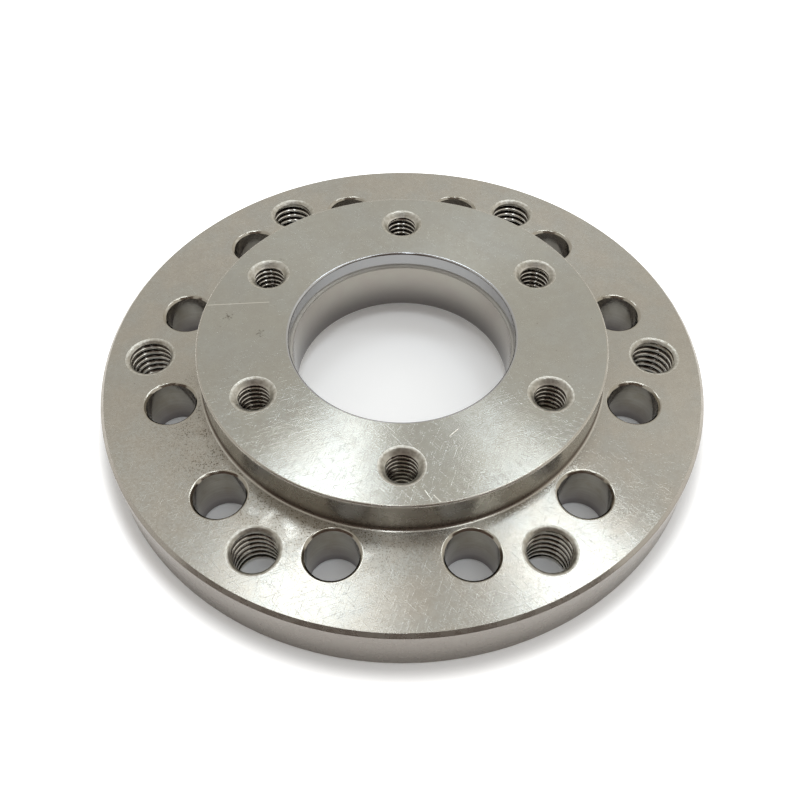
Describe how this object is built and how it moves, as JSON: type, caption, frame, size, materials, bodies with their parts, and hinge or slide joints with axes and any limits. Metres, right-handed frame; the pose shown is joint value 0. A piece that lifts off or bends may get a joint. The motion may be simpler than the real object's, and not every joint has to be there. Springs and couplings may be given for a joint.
{
  "type": "vacuum flange",
  "caption": "Round stainless vacuum flange: a flat ring of tapped and plain bolt holes, a raised boss with blind tapped holes, a through bore and a knife-edge gasket seat beneath.",
  "frame": {"origin": "centre of the underside, on the bore's axis, where the flange rests", "axes": "+Z along the bore's axis, out of the boss; +X through one of the ring's tapped holes"},
  "size_m": [0.1, 0.1, 0.0153],
  "materials": {
    "stainless_steel": "turned and faced bare stainless steel, fine concentric tool marks, light handling scratches"
  },
  "bodies": {
    "root": {"flange_body": "stainless_steel"}
  },
  "joints": []
}
